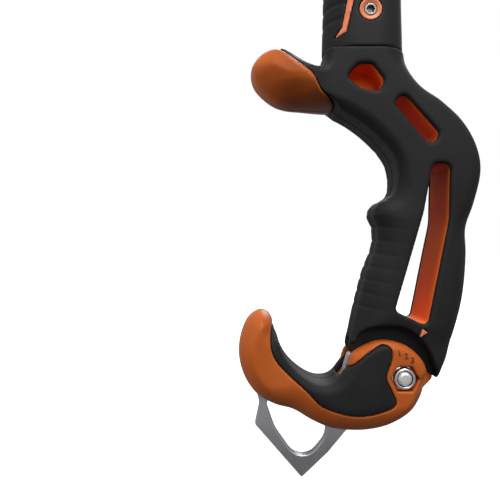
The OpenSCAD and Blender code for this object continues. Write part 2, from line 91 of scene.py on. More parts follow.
STEP, FINE_STEP, HARDWARE_STEP, INDEX_STEP = 0.6, 0.5, 0.2, 0.16  # spacing of the sample points
CENTRE = (0, 0)  # the pivot, or the eye in the head's own millimetres

# ---- outlines, X backwards and Z up
BACK = [(1.9, 138), (3.4, 131), (8, 122.8), (16, 116.5), (24.4, 108.5), (30.3, 98.5), (32.7, 87),
        (30.6, 73.5), (27.6, 63), (27.8, 51), (26.3, 34), (22.2, 18)]
FOOT = [(17.2, 6), (13.5, -0.3), (7, 6.5), (-3, 10), (-13, 9.5), (-21.6, 10.8)]
FRONT = [(-20.6, 19), (-17.8, 31.8), (-14.4, 44.5), (-10.4, 55), (-10.1, 63), (-12.1, 69.5),
         (-9, 74.2), (-3.6, 77.4), (-1.9, 84), (-3.6, 92.9), (-10.5, 101.6), (-19.6, 109), (-28, 113.5)]
HORN = [(-33, 114.5), (-42, 115), (-50, 117), (-56, 122), (-58, 130), (-55, 137), (-51.3, 139.4),
        (-44.4, 136), (-38, 131.6), (-34.6, 131.4), (-33, 134.5), (-32.8, 138)]
BODY_FOOT = [(13, 12), (0, 15), (-12, 15)]
BODY_FRONT = FRONT + [(-31, 120), (-32.8, 128), (-32.8, 138)]
WINDOWS = [
    [(-24.6, 125.4, 2), (-19.6, 131.4, 4), (-13.6, 131.4, 4), (-8.2, 124.4, 3), (-11, 119, 3),
     (-19, 121, 3)],
    [(-4.8, 114.4, 2.4), (-1, 119.8, 2.8), (14.8, 101.8, 2.8), (10.4, 96.4, 2.8)],
    [(11.2, 90, 3), (19, 90, 3.4), (18.4, 66, 30), (9.4, 21.6, 2.6), (-4.6, 28.2, 2.6), (7.4, 69.5, 30)],
]
# Finger rest: its outer curve and the line along which it meets the horn
SPOON_OUTER = [(-46, 137.6), (-51.4, 139.3), (-56.6, 139.6), (-61.8, 137), (-65.2, 131.4), (-63.6, 124.6),
               (-56.6, 117.6), (-50, 114.6), (-41, 113.9), (-31, 113.4), (-24, 113.4)]
SPOON_INNER = [(-56, 144), (-53.6, 140.6), (-50.8, 136.8), (-45.2, 131.4), (-38.9, 125.8), (-35.2, 120.2),
               (-29, 116.4), (-24.5, 111)]
# Grip rest: its outer side from the hook's tip round the underside to the pivot, and its inner side
REST_OUTER = [(-52.6, 20), (-53.6, 24.2), (-56.8, 27), (-61, 27.6), (-65.8, 23.8), (-68.9, 15.6),
              (-69.3, 7), (-66.8, -1.6), (-61.6, -8.8), (-54, -13.2), (-46, -15.4), (-38, -20),
              (-30, -23.2), (-20, -24.3), (-10, -23.4), (-1, -20), (5.6, -15), (9.6, -8), (10.8, -2)]
REST_INNER = [(10.7, 1), (8.6, 7), (3.4, 12.4), (-3, 15.2), (-10, 15.8), (-16.4, 13.4), (-21.6, 9.8),
              (-24.4, 3), (-29, -2), (-35.4, -2.6), (-42, 0.6), (-48, 6.2), (-51.8, 13), (-54, 21.4)]
REST_PAD = [(-54.9, 21.4), (-55.8, 14), (-53.4, 7.2), (-47, 0.4), (-40.6, -5.4), (-35, -11.2),
            (-28, -14.2), (-19, -15.8), (-10, -14.2), (-3.8, -10.6), (-5.8, -4.6), (-7.8, 0.6), (-5.6, 8),
            (-6, 12.6), (-9.6, 14), (-15.4, 10.4), (-21.2, 5.8), (-26, 3), (-30, 6), (-36, 12), (-41, 14),
            (-46, 18), (-49.4, 22), (-51.6, 22)]
# Spike plate, each point with its corner's radius, as in all outlines with three numbers
SPIKE = [(9, 1, 5), (7, 9, 5), (-8, 8, 4), (-21.6, 9.4, 2), (-24.4, 0, 4), (-30, -7.6, 6), (-46, -7.6, 8),
         (-56, 4, 2), (-63, -3, 2), (-60.4, -13, 6), (-62.4, -22.4, 1.6), (-42, -45.6, 0.8),
         (-30.6, -34.8, 8), (-21.6, -24, 1), (-8, -12, 8), (6, -8, 5)]
SPIKE_HOLE = [(-58.6, -10, 3), (-53.6, -24, 14), (-42, -40.6, 7.4), (-31, -27, 9), (-32, -19, 2),
              (-46, -11.6, 4)]
SPIKE_PINS, SPIKE_PIN_R = [(-30, -13), (-56, -3.4)], 2.05
# The dark recess above the grip rest
RECESS = [(-17, 8), (-19.4, 13), (-18.8, 17.4), (-15.6, 20.6), (-11, 22), (-5.5, 22.3), (-0.8, 21.6),
          (3.6, 19.4), (7.4, 16), (10.4, 11.6), (12.6, 6.4), (13.6, 1), (8, -6), (-10, -6)]
EAR = [(13.8, -1.8, 1.4), (16, 10, 2), (20, 34, 2), (-10.6, 42, 2), (-15.5, 24, 2), (-17.5, 13, 3),
       (-11.4, 4, 3), (-11.4, -6, 5), (-4, -11.4, 5), (5, -11, 5)]
STRIPE = [(-29.4, 142, 0.4), (-24.4, 144.2, 1), (-21.2, 158, 6), (-21.2, 196, 6), (-15, 214, 0.6),
          (-18, 214, 0.6), (-24, 196, 6), (-24, 158, 6), (-26, 146.6, 1)]
SCREWS = [(-62.4, 8), (-22, -20)]
# The head, from the clip-in eye
HEAD = [(-14, SEAT_W, 1), (-16, -18, 8), (-30, -8, 6), (-30, 10, 8), (-20, 18, 10), (12, 19, 10),
        (21, 13, 5), (21, -8, 5), (17, -16, 8), (16.4, SEAT_W, 1)]
HAMMER = [(21.2, 14, 1), (46, 17, 2), (56, 18, 2), (56, -8, 2), (46, -7, 2), (32, -7, 6), (21.2, -9, 1)]
HEAD_BOLTS = [(-20, 4), (29, 5)]
# The triangle beside the grip rest's scale: its middle, and its corners as distance and direction
INDEX_AT, INDEX_CORNERS = (7.2, 19.4), ((2.3, -127), (1.7, 4), (1.7, 99))
# The numerals on the scale: text, place and tilt in degrees
NUMERALS = [("1", (-2.6, 10.9), 14), ("2", (0.3, 9.7), 2), ("3", (2.9, 7.8), -12)]


# ---- curves
CURVE_STEPS = 6  # points along each piece of a curve


def smooth(points, closed=True):
    """Points along a smooth curve through the given ones."""
    p = np.array(points, float)
    n = len(p)
    out = []
    for i in range(n if closed else n - 1):
        pick = [(i + k) % n if closed else min(max(i + k, 0), n - 1) for k in (-1, 0, 1, 2)]
        a, b, c, d = p[pick]
        for t in np.arange(CURVE_STEPS) / CURVE_STEPS:
            out.append(0.5 * (2 * b + (c - a) * t + (2 * a - 5 * b + 4 * c - d) * t**2
                              + (3 * b - a - 3 * c + d) * t**3))
    if not closed:
        out.append(p[-1])
    return np.array(out)


def fillet(points):
    """Polygon with rounded corners: each point is (x, z, radius)."""
    out = []
    n = len(points)
    for i, (x, z, r) in enumerate(points):
        here = np.array((x, z), float)
        back = np.array(points[i - 1][:2]) - here
        ahead = np.array(points[(i + 1) % n][:2]) - here
        back /= np.linalg.norm(back)
        ahead /= np.linalg.norm(ahead)
        half = math.acos(float(back @ ahead)) / 2
        middle = (back + ahead) / np.linalg.norm(back + ahead)
        centre = here + middle * r / math.sin(half)
        first = here + back * r / math.tan(half) - centre
        last = here + ahead * r / math.tan(half) - centre
        start = math.atan2(first[1], first[0])
        turn = math.atan2(last[1], last[0]) - start
        turn = (turn + math.pi) % (2 * math.pi) - math.pi
        for k in range(CURVE_STEPS + 1):
            angle = start + turn * k / CURVE_STEPS
            out.append(centre + r * np.array((math.cos(angle), math.sin(angle))))
    return np.array(out)


def turned(points, degrees):
    """The outline turned clockwise about the pivot, as seen from the front."""
    a = math.radians(degrees)
    turn = np.array(((math.cos(a), math.sin(a)), (-math.sin(a), math.cos(a))))
    return np.asarray(points, float)[:, :2] @ turn.T


OVER_BACK, OVER_FRONT = [(1.9, 150), (1.9, 144)], [(-32.8, 144), (-32.8, 150)]  # past the joint
HANDLE = smooth(OVER_BACK + BACK + FOOT + FRONT + HORN + OVER_FRONT, closed=False)
BODY = smooth(OVER_BACK + BACK + BODY_FOOT + BODY_FRONT + OVER_FRONT[1:], closed=False)
REST = smooth(REST_INNER + REST_OUTER)


# ---- distance fields
TINY = 1e-9


class Grid:
    """A box of sample points with even spacing. X and Z come as a plane, Y along the middle axis."""

    def __init__(self, low, high, step):
        self.low, self.step = np.array(low, float), step
        counts = np.ceil((np.array(high, float) - self.low) / step).astype(int) + 1
        axes = [self.low[i] + step * np.arange(counts[i]) for i in range(3)]
        self.x = axes[0][:, None, None].astype(np.float32)
        self.y = axes[1][None, :, None].astype(np.float32)
        self.z = axes[2][None, None, :].astype(np.float32)
        self.ay = np.abs(self.y)

    def outline(self, points):
        """Signed distance to a closed outline in the X-Z plane."""
        px, pz = np.broadcast_arrays(self.x[:, 0, :], self.z[:, 0, :])
        px, pz = px.ravel(), pz.ravel()
        best = np.full(px.shape, np.inf, np.float32)
        inside = np.zeros(px.shape, bool)
        p = np.asarray(points, np.float32)[:, :2]
        for a, b in zip(p, np.roll(p, -1, axis=0)):
            dx, dz = b - a
            length = dx * dx + dz * dz
            if length < TINY:
                continue
            rx, rz = px - a[0], pz - a[1]
            t = np.clip((rx * dx + rz * dz) / length, 0, 1)
            best = np.minimum(best, (rx - t * dx) ** 2 + (rz - t * dz) ** 2)
            crosses = (a[1] > pz) != (b[1] > pz)
            if abs(dz) > TINY:
                inside ^= crosses & (px < a[0] + (pz - a[1]) * dx / dz)
        d = np.sqrt(best)
        d[inside] *= -1
        return d.reshape(self.x.shape[0], 1, self.z.shape[2])

    def open_curve(self, points, beyond):
        """Signed distance to a smooth open curve, closed by far points that lie beyond it."""
        return self.outline(np.concatenate((smooth(points, closed=False), beyond)))

    def rod(self, at, radius):
        """Cylinder along Y through (x, z)."""
        return np.hypot(self.x - at[0], self.z - at[1]) - radius

    def hexagon(self, at, flats):
        """Hexagonal bar along Y through (x, z), with two level flats."""
        dx, dz = self.x - at[0], self.z - at[1]
        sides = [np.abs(dx * math.sin(a) + dz * math.cos(a)) for a in np.radians((0, 60, 120))]
        return np.maximum(np.maximum(sides[0], sides[1]), sides[2]) - flats / 2

    def between(self, low, high):
        """Slab between two Y planes."""
        return np.maximum(low - self.y, self.y - high)


def grid_about(at, room, low, high):
    """Fine grid round a place (x, z), between two Y planes, with the distances from its middle line."""
    grid = Grid((at[0] - room, low, at[1] - room), (at[0] + room, high, at[1] + room), HARDWARE_STEP)
    return grid, grid.rod(at, 0)


def both(a, b, blend=0.0):
    """Where both solids are, with the edge between them rounded over the blend width."""
    if blend <= 0:
        return np.maximum(a, b)
    h = np.maximum(blend - np.abs(a - b), 0) / blend
    return np.maximum(a, b) + h * h * blend / 4


def either(a, b, blend=0.0):
    """Where either solid is, with a fillet of the blend width."""
    return -both(-a, -b, blend)


def cut(a, b, blend=0.0):
    """The first solid without the second."""
    return both(a, -b, blend)


def slab(edge, rise, radius):
    """Solid inside an outline and between its faces, with rounded edges."""
    a, b = edge + radius, rise + radius
    return np.minimum(np.maximum(a, b), 0) + np.hypot(np.maximum(a, 0), np.maximum(b, 0)) - radius


def ease(value, low, high):
    """0 below low, 1 above high, smooth between."""
    t = np.clip((value - low) / (high - low), 0, 1)
    return t * t * (3 - 2 * t)


def bell(value, width):
    """1 at zero and falling to 0 on both sides."""
    return np.exp(-((value / width) ** 2))


def span(side, near, far):
    """The lower and the higher Y of two depths on the left (side -1) or the right (side 1)."""
    return min(side * near, side * far), max(side * near, side * far)


# ---- meshes
CORNERS = np.array([(i, j, k) for i in (0, 1) for j in (0, 1) for k in (0, 1)])
EDGES = [(a, b) for a in range(8) for b in range(a + 1, 8) if np.abs(CORNERS[a] - CORNERS[b]).sum() == 1]
SHRINK, SWELL, RELAX_ROUNDS = 0.55, -0.57, 2  # how far vertices move to and from their neighbours' mean


def net(field, grid):
    """Vertices and quads of the surface where the field crosses zero."""
    inside = field < 0
    n = np.array(field.shape)
    count = np.zeros(n - 1, np.int8)
    for i, j, k in CORNERS:
        count += inside[i:n[0] - 1 + i, j:n[1] - 1 + j, k:n[2] - 1 + k]
    cells = np.argwhere((count > 0) & (count < 8))
    number = np.full(n - 1, -1, np.int64)
    number[tuple(cells.T)] = np.arange(len(cells))
    value = np.stack([field[tuple((cells + c).T)] for c in CORNERS], 1)
    total = np.zeros((len(cells), 3))
    hits = np.zeros(len(cells))
    for a, b in EDGES:
        fa, fb = value[:, a], value[:, b]
        mixed = (fa < 0) != (fb < 0)
        t = np.where(mixed, fa / np.where(mixed, fa - fb, 1), 0)[:, None]
        total += np.where(mixed[:, None], CORNERS[a] + t * (CORNERS[b] - CORNERS[a]), 0)
        hits += mixed
    verts = grid.low + grid.step * (cells + total / hits[:, None])
    quads = []
    for axis in range(3):
        u, v = (axis + 1) % 3, (axis + 2) % 3
        first, second = [slice(None)] * 3, [slice(None)] * 3
        first[axis], second[axis] = slice(0, -1), slice(1, None)
        change = inside[tuple(first)].astype(np.int8) - inside[tuple(second)]
        for sign in (1, -1):
            at = np.argwhere(change == sign)
            at = at[(at[:, u] > 0) & (at[:, v] > 0) & (at[:, u] < n[u] - 1) & (at[:, v] < n[v] - 1)]
            ring = []
            for du, dv in ((1, 1), (0, 1), (0, 0), (1, 0)):
                cell = at.copy()
                cell[:, u] -= du
                cell[:, v] -= dv
                ring.append(number[tuple(cell.T)])
            ring = np.stack(ring, 1)
            quads.append(ring if sign > 0 else ring[:, ::-1])
    return verts, np.concatenate(quads)


def relaxed(verts, quads):
    """The same mesh with its small steps evened out, without shrinking it."""
    a = quads.ravel()
    b = np.roll(quads, -1, axis=1).ravel()
    ends, others = np.concatenate((a, b)), np.concatenate((b, a))
    degree = np.bincount(ends, minlength=len(verts))[:, None]
    for weight in (SHRINK, SWELL) * RELAX_ROUNDS:
        mean = np.stack([np.bincount(ends, verts[others, k], len(verts)) for k in range(3)], 1) / degree
        verts = verts + weight * (mean - verts)
    return verts


def linked(name, data):
    """A new object in the scene."""
    obj = bpy.data.objects.new(name, data)
    bpy.context.scene.collection.objects.link(obj)
    return obj


def mesh_object(name, verts, faces):
    """A smooth-shaded object from vertices and faces."""
    mesh = bpy.data.meshes.new(name)
    mesh.from_pydata(verts.tolist(), [], faces.tolist())
    mesh.validate()
    mesh.shade_smooth()
    return linked(name, mesh)


def mesh_of(curve):
    """The finished mesh of a curve or a text, which is then removed."""
    temp = linked(curve.name, curve)
    graph = bpy.context.evaluated_depsgraph_get()
    mesh = bpy.data.meshes.new_from_object(temp.evaluated_get(graph), depsgraph=graph)
    bpy.data.objects.remove(temp)
    bpy.data.curves.remove(curve)
    return mesh


AT_PIVOT = Matrix.Translation(PIVOT)
AT_HEAD = Matrix.Rotation(-SHAFT_LEAN, 4, "Y")
PLATE_CREASE, TUBE_CREASE = math.radians(40), math.radians(50)  # edges sharper than this stay sharp
SIDES = ((-1, "left"), (1, "right"))
UPRIGHT = Matrix.Rotation(math.radians(90), 4, "X")  # from the X-Y plane to the X-Z plane


def place(obj, where, body, finish, nodes):
    """Puts a piece made in millimetres into the row frame, with its finish's material, body and CAD
    nodes.
    """
    obj.data.transform(Matrix.Scale(MM, 4) @ where)
    material, slot = finish
    obj.data.materials.clear()
    obj.data.materials.append(material)
    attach(obj, body)
    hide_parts(*nodes)
    return obj


def solid(name, field, grid, body, finish, nodes, where=AT_PIVOT):
    """A piece from its distance field."""
    shape = np.broadcast_shapes(field.shape, grid.x.shape, grid.y.shape, grid.z.shape)
    field = np.ascontiguousarray(np.broadcast_to(field, shape), np.float32)
    verts, quads = net(field, grid)
    obj = mesh_object(name, relaxed(verts, quads), quads)
    return place(obj, where, body, finish, nodes)


def swept(name, rings, body, finish, nodes):
    """A hollow piece from rings of points: each ring is joined to the next, and the last to the first."""
    rings = np.array(rings)
    count, around = rings.shape[:2]
    faces = []
    for i in range(count):
        here, after = i * around, (i + 1) % count * around
        for k in range(around):
            faces.append((here + k, here + (k + 1) % around, after + (k + 1) % around, after + k))
    obj = mesh_object(name, rings.reshape(-1, 3), np.array(faces))
    return place(obj, AT_PIVOT, body, finish, nodes)


def flat_plate(name, outlines, half, bevel, body, finish, nodes, where=AT_PIVOT):
    """A plate with bevelled rims: the first outline is its edge, and the rest are holes."""
    curve = bpy.data.curves.new(name, "CURVE")
    curve.dimensions = "2D"
    curve.fill_mode = "BOTH"
    curve.extrude = half - bevel
    curve.bevel_depth = bevel
    curve.bevel_resolution = 2
    curve.offset = -bevel
    for points in outlines:
        line = curve.splines.new("POLY")
        line.points.add(len(points) - 1)
        for target, (x, z) in zip(line.points, np.asarray(points)[:, :2]):
            target.co = (x, z, 0, 1)
        line.use_cyclic_u = True
    mesh = mesh_of(curve)
    mesh.transform(UPRIGHT)
    mesh.name = name
    mesh.shade_smooth()
    mesh.set_sharp_from_angle(angle=PLATE_CREASE)
    return place(linked(name, mesh), where, body, finish, nodes)


# ---- materials
NOISE_ROUGHNESS = 0.55
SOFT_EDGE, SHARP_EDGE = 0.505, 0.56  # pointiness, which is 0.5 on a flat face


def map_range(tree, factor, low, high, a, b):
    """Maps the factor's range low..high onto a..b."""
    node = tree.nodes.new("ShaderNodeMapRange")
    for socket, value in zip(("From Min", "From Max", "To Min", "To Max"), (low, high, a, b)):
        node.inputs[socket].default_value = value
    tree.links.new(factor, node.inputs["Value"])
    return node.outputs["Result"]


class Nodes:
    """A material's node tree with short helpers around one Principled shader."""

    def __init__(self, name, colour, rough, metallic=0.0, specular=0.5):
        self.material = bpy.data.materials.new(name)
        self.material.use_nodes = True
        self.tree = self.material.node_tree
        self.new = self.tree.nodes.new
        self.shader = self.tree.nodes["Principled BSDF"]
        self.set("Base Color", (*colour, 1))
        self.set("Roughness", rough)
        self.set("Metallic", metallic)
        self.set("Specular IOR Level", specular)
        self.at = self.new("ShaderNodeTexCoord").outputs["Object"]
        self.normal = None

    def set(self, socket, value):
        self.shader.inputs[socket].default_value = value

    def link(self, a, b):
        self.tree.links.new(a, b)

    def noise(self, scale, detail, stretch=None):
        """Noise in the object's own space; scale is in features per metre."""
        node = self.new("ShaderNodeTexNoise")
        node.inputs["Scale"].default_value = scale
        node.inputs["Detail"].default_value = detail
        node.inputs["Roughness"].default_value = NOISE_ROUGHNESS
        source = self.at
        if stretch:
            mapping = self.new("ShaderNodeMapping")
            mapping.inputs["Scale"].default_value = stretch
            self.link(self.at, mapping.inputs["Vector"])
            source = mapping.outputs["Vector"]
        self.link(source, node.inputs["Vector"])
        return node.outputs["Fac"]

    def ramp(self, factor, low, high, a=0, b=1):
        return map_range(self.tree, factor, low, high, a, b)

    def mix(self, factor, a, b):
        """Colour between a and b; either may be a socket."""
        node = self.new("ShaderNodeMix")
        node.data_type = "RGBA"
        self.link(factor, node.inputs["Factor"])
        for name, value in (("A", a), ("B", b)):
            socket = [s for s in node.inputs if s.name == name and s.type == "RGBA"][0]
            if isinstance(value, tuple):
                socket.default_value = (*value, 1)
            else:
                self.link(value, socket)
        return [s for s in node.outputs if s.type == "RGBA"][0]

    def bump(self, height, distance, strength=1.0):
        """Adds a layer of bumps, distance high in millimetres."""
        node = self.new("ShaderNodeBump")
        node.inputs["Strength"].default_value = strength
        node.inputs["Distance"].default_value = distance * MM
        self.link(height, node.inputs["Height"])
        if self.normal is not None:
            self.link(self.normal, node.inputs["Normal"])
        self.normal = node.outputs["Normal"]

    def edges(self):
        """1 on convex edges and 0 elsewhere, from the mesh's pointiness."""
        geometry = self.new("ShaderNodeNewGeometry")
        return self.ramp(geometry.outputs["Pointiness"], SOFT_EDGE, SHARP_EDGE)

    def done(self, colour=None, rough=None):
        for source, socket in ((colour, "Base Color"), (rough, "Roughness"), (self.normal, "Normal")):
            if source is not None:
                self.link(source, self.shader.inputs[socket])
        return self.material


def rubber():
    """Soft-touch black rubber: fine grain and dusty variation."""
    n = Nodes("grip_rubber", (0.02, 0.02, 0.021), 0.6, specular=0.17)
    cloud = n.noise(60, 4)
    grain = n.noise(2600, 2)
    base = n.mix(n.ramp(cloud, 0.35, 0.7), (0.013, 0.013, 0.0145), (0.018, 0.018, 0.0195))
    n.bump(grain, 0.06)
    n.bump(cloud, 0.12, 0.5)
    return n.done(base, n.ramp(cloud, 0.3, 0.7, 0.52, 0.68)), "grip_rubber"


def plastic(name, dark, light, rough, specular=0.45, slot=None):
    """Moulded nylon: faint flow marks and fine grain."""
    n = Nodes(name, light, rough, specular=specular)
    flow = n.noise(35, 3, stretch=(1, 1, 0.35))
    grain = n.noise(1800, 2)
    base = n.mix(n.ramp(flow, 0.35, 0.65), dark, light)
    n.bump(grain, 0.03)
    return n.done(base, n.ramp(flow, 0.3, 0.7, rough - 0.06, rough + 0.08)), slot or name


def steel(name, base, bright, rough, brush=(1, 1, 1), rise=None, slot=None):
    """Blasted or brushed steel with bright edges. Between the two heights of rise a painted highlight
    lightens it.
    """
    n = Nodes(name, base, rough, metallic=1.0)
    blast = n.noise(1500, 3, stretch=brush)
    cloud = n.noise(45, 4)
    # The brightest share is the painted highlight, used above rise.
    dim, usual, painted_highlight = (tuple(share * c for c in base) for share in (0.7, 1.15, 2.4))
    tint = n.mix(n.ramp(cloud, 0.3, 0.7), dim, usual)
    if rise:
        split = n.new("ShaderNodeSeparateXYZ")
        n.link(n.at, split.inputs["Vector"])
        tint = n.mix(n.ramp(split.outputs["Z"], *rise), tint, painted_highlight)
    n.bump(blast, 0.05)
    colour = n.mix(n.edges(), tint, bright)
    return n.done(colour, n.ramp(blast, 0.3, 0.7, rough - 0.08, rough + 0.1)), slot or name


# Each finish is a material and its slot, which has the material's name unless it is given
RUBBER = rubber()
ORANGE = plastic("orange_shell", (0.44, 0.092, 0.015), (0.54, 0.124, 0.022), 0.38, 0.22)
# The core's orange is lighter than the shells': painted light for the windows' inner walls, which are
# most of what shows of it.
CORE_PAINTED_LIT = plastic("orange_core", (0.74, 0.14, 0.014), (0.86, 0.19, 0.024), 0.6, 0.2)
MARK = plastic("setting_mark", (0.10, 0.02, 0.006), (0.13, 0.028, 0.009), 0.6, 0.2, slot="orange_shell")
INLAY = plastic("orange_inlay", (0.76, 0.21, 0.09), (0.84, 0.27, 0.13), 0.45)
# The spike plate gets a painted highlight: lighter towards its top, where it meets the grip rest.
SPIKE_STEEL = steel("spike_steel", (0.19, 0.19, 0.21), (0.8, 0.8, 0.84), 0.36,
                    rise=((PIVOT.z - 38) * MM, (PIVOT.z - 18) * MM))
PICK_STEEL = steel("pick_steel", (0.24, 0.24, 0.26), (0.66, 0.66, 0.70), 0.36)
HAMMER_STEEL = steel("hammer_steel", (0.17, 0.17, 0.18), (0.5, 0.5, 0.53), 0.42)
HEAD_ALLOY = steel("head_alloy", (0.055, 0.056, 0.06), (0.16, 0.16, 0.17), 0.4)
SHAFT_ALLOY = steel("shaft_alloy", (0.035, 0.035, 0.038), (0.09, 0.09, 0.095), 0.35, (1, 1, 0.12))
ZINC = steel("zinc", (0.78, 0.79, 0.81), (0.92, 0.92, 0.93), 0.26)
CROSS_ZINC = steel("cross_zinc", (0.22, 0.225, 0.22), (0.45, 0.45, 0.43), 0.45, slot="zinc")
DULL_ZINC = steel("dull_zinc", (0.88, 0.88, 0.86), (0.96, 0.96, 0.95), 0.55, slot="zinc")
NYLON = plastic("nylon", (0.03, 0.035, 0.10), (0.045, 0.05, 0.14), 0.3)


# ---- handle
SHELL_ROOM, CORE_ROOM, SWEEP_STEPS = 0.7, 2.4, 3  # room that shells and core leave round the grip rest
CORE_LIP, SHELL_LIP = 0.25, 0.3  # how much smaller than their outlines the windows are
CORE_SINK = 4.2  # how much thinner each side of the core is away from its windows
TENON_LONG, FORK_ROOM, FORK_WALL = 11, 0.5, 1.8  # the wall is between the fork's slot and the windows
HORN_FLARE, SIDE_DOME = 3.4, 1.5
# How round the shells' long edges are, and how much rounder on the grip, on the horn and behind the joint
EDGE_ROUND, GRIP_ROUND, HORN_ROUND, BACK_ROUND = 4.5, 3.5, 6.5, 7.0
RIB_FIRST, RIB_LAST, RIB_COUNT = 24.0, 100.0, 13
RIB_RAKE, RIB_WIDTH, RIB_DEPTH = 0.18, 0.11, 0.4
RIB_MIDDLE = ([20, 60, 100], [-3, 7, 2])  # heights, and the handle's middle X there
SPOON_PLAY, RIM_PLAY, RIM_LOW = 0.12, 0.4, 112.5  # room round the spoon, and its lower end's height
INDEX_LOW, INDEX_HIGH, INDEX_PLAY = 12, 13.7, 0.15


def recess(grid, room):
    """What the grip rest sweeps over its travel, with room round it."""
    swept_over = [grid.outline(turned(REST, TRAVEL * k / SWEEP_STEPS)) for k in range(SWEEP_STEPS + 1)]
    seen = grid.outline(smooth(RECESS)) - room + SHELL_ROOM
    return np.minimum(np.minimum.reduce(swept_over) - room, seen)


def handle_fields():
    """The fields that the core and the shells share, on one grid."""
    grid = Grid((-66, -18.2, -13), (35, 18.2, 144), STEP)
    body = grid.outline(BODY)
    holes = np.minimum.reduce([grid.outline(fillet(w)) for w in WINDOWS])
    ears = both(grid.outline(fillet(EAR)), grid.ay - EAR_OUT, 0.6)
    core = slab(body + SHELL_EDGE, grid.ay - CORE_HALF + CORE_SINK * ease(holes, 1.4, 4.5), 1.2)
    core = cut(core, recess(grid, CORE_ROOM), 0.6)
    tenon = slab(oval(grid, SHAFT_W - 1, SHAFT_T), level(grid, JOINT_Z - TENON_LONG, JOINT_Z), 0.3)
    core = either(either(core, ears, 1.0), tenon)
    core = cut(core, holes + CORE_LIP, 0.8)
    web = both(grid.outline(fillet(WINDOWS[0])) - 1, grid.ay - WEB_HALF, 0.3)
    core = either(core, web, 0.6)
    fork = both(grid.rod(CENTRE, FORK_R + FORK_ROOM), grid.ay - EAR_IN, 0.4)
    fork = both(fork, FORK_WALL - holes, 0.4)
    return grid, body, holes, core, fork


def oval(grid, width, thick):
    """Flat-sided oval bar along Z, centred on the shaft's line."""
    side = np.maximum(np.abs(grid.x - AXIS_X) - (width - thick) / 2, 0)
    return np.hypot(side, grid.y) - thick / 2


def level(grid, low, high):
    """Slab between two heights."""
    return np.maximum(low - grid.z, grid.z - high)


def shell_outer(grid, body):
    """The rubber's outer form: round front and back, softly domed sides, and the flared horn."""
    to_pad = grid.open_curve(SPOON_INNER, [(-90, 100), (-90, 150)])
    flare = HORN_FLARE * (1 - ease(to_pad, 0, 17)) * ease(-grid.x, 26, 42)
    low_grip = 1 - ease(grid.z, 60, 95)
    dome = SIDE_DOME * (1 - ease(-body, 0, 13))
    half = HANDLE_HALF + flare - dome * (0.35 + 0.65 * low_grip)
    edge_round = EDGE_ROUND + GRIP_ROUND * low_grip
    edge_round = edge_round + HORN_ROUND * ease(-grid.x, 30, 42) * ease(grid.z, 127, 135)
    edge_round = edge_round + BACK_ROUND * ease(grid.z, 116, 136) * ease(grid.x, -24, -12)
    at_foot = ease(-grid.z, -16, -6)
    return slab(grid.outline(HANDLE), grid.ay - half, edge_round * (1 - 0.5 * at_foot))


def ribs(grid):
    """Shallow grooves that cross the front of the grip and fade towards its sides."""
    share = (grid.z + RIB_RAKE * grid.x - RIB_FIRST) / (RIB_LAST - RIB_FIRST) * RIB_COUNT
    wave = bell(share - np.floor(share) - 0.5, RIB_WIDTH)
    along = ease(share, 0, 0.6) * (1 - ease(share, RIB_COUNT - 0.6, RIB_COUNT))
    middle_x = np.interp(grid.z.ravel(), *RIB_MIDDLE)[None, None, :]
    front = 1 - ease(grid.x - middle_x, -14, -1)
    return RIB_DEPTH * wave * along * front * (1 - 0.55 * ease(grid.ay, 8, HANDLE_HALF))


def handle_pieces():
    """Two soft shells with an index mark each, and the orange core."""
    grid, body, holes, core, fork = handle_fields()
    outer = shell_outer(grid, body) + ribs(grid)
    outer = cut(outer, holes + SHELL_LIP, 1.8)
    outer = cut(outer, both(recess(grid, SHELL_ROOM), WEB_OUT - grid.ay), 0.9)
    outer = cut(outer, fork, 0.5)
    outer = cut(outer, spoon_field(grid) - SPOON_PLAY, 0.3)
    outer = both(outer, np.minimum(spoon_rim(grid) - RIM_PLAY, grid.z - RIM_LOW))
    outer = both(outer, grid.z - JOINT_Z, 0.4)
    for side, name in SIDES:
        mark = both(grid.outline(index_triangle(INDEX_PLAY)), INDEX_LOW + 0.2 - side * grid.y)
        half = cut(both(outer, PARTING - side * grid.y, 0.15), mark)
        half = cut(half, core - 0.05, 0.7)
        solid(f"grip_{name}_shell", half, grid, "tool", RUBBER, [f"grip_{name}"])
        index_mark(side, name)
    core = cut(core, fork, 0.4)
    core = cut(core, grid.rod(CENTRE, BOLT_R + BOLT_PLAY))
    core = both(core, grid.z - JOINT_Z + 0.05, 0.3)
    solid("handle_core_moulding", core, grid, "tool", CORE_PAINTED_LIT, ["handle_core"])


def index_triangle(grow):
    """Corners of the small triangle beside the grip rest's scale, grown by a distance."""
    corners = []
    for reach, direction in INDEX_CORNERS:
        a = math.radians(direction)
        corners.append(np.array(INDEX_AT) + (reach + grow) * np.array((math.cos(a), math.sin(a))))
    return corners


def index_mark(side, name):
    """The orange triangle set into one shell."""
    low, high = span(side, INDEX_LOW - 0.4, INDEX_HIGH + 0.7)
    grid = Grid((4.4, low, 16.6), (10, high, 22.2), INDEX_STEP)
    field = slab(grid.outline(index_triangle(0)), grid.between(*span(side, INDEX_LOW, INDEX_HIGH)), 0.35)
    solid(f"index_{name}", field, grid, "tool", INLAY, [f"index_mark_{name}"])


# ---- finger rest
SPOON_TIP, SPOON_TOP, SPOON_TALL = 6.2, 126, 18  # narrower by TIP below, and over TALL above TOP
SPOON_BOW, SPOON_SEAM = 3.6, 0.35  # how far its underside bows, and how deep its seam is


def spoon_rim(grid):
    """Distance from the line where the spoon meets the horn, positive on the spoon's side."""
    return grid.open_curve(SPOON_INNER, [(20, 100), (20, 160)])


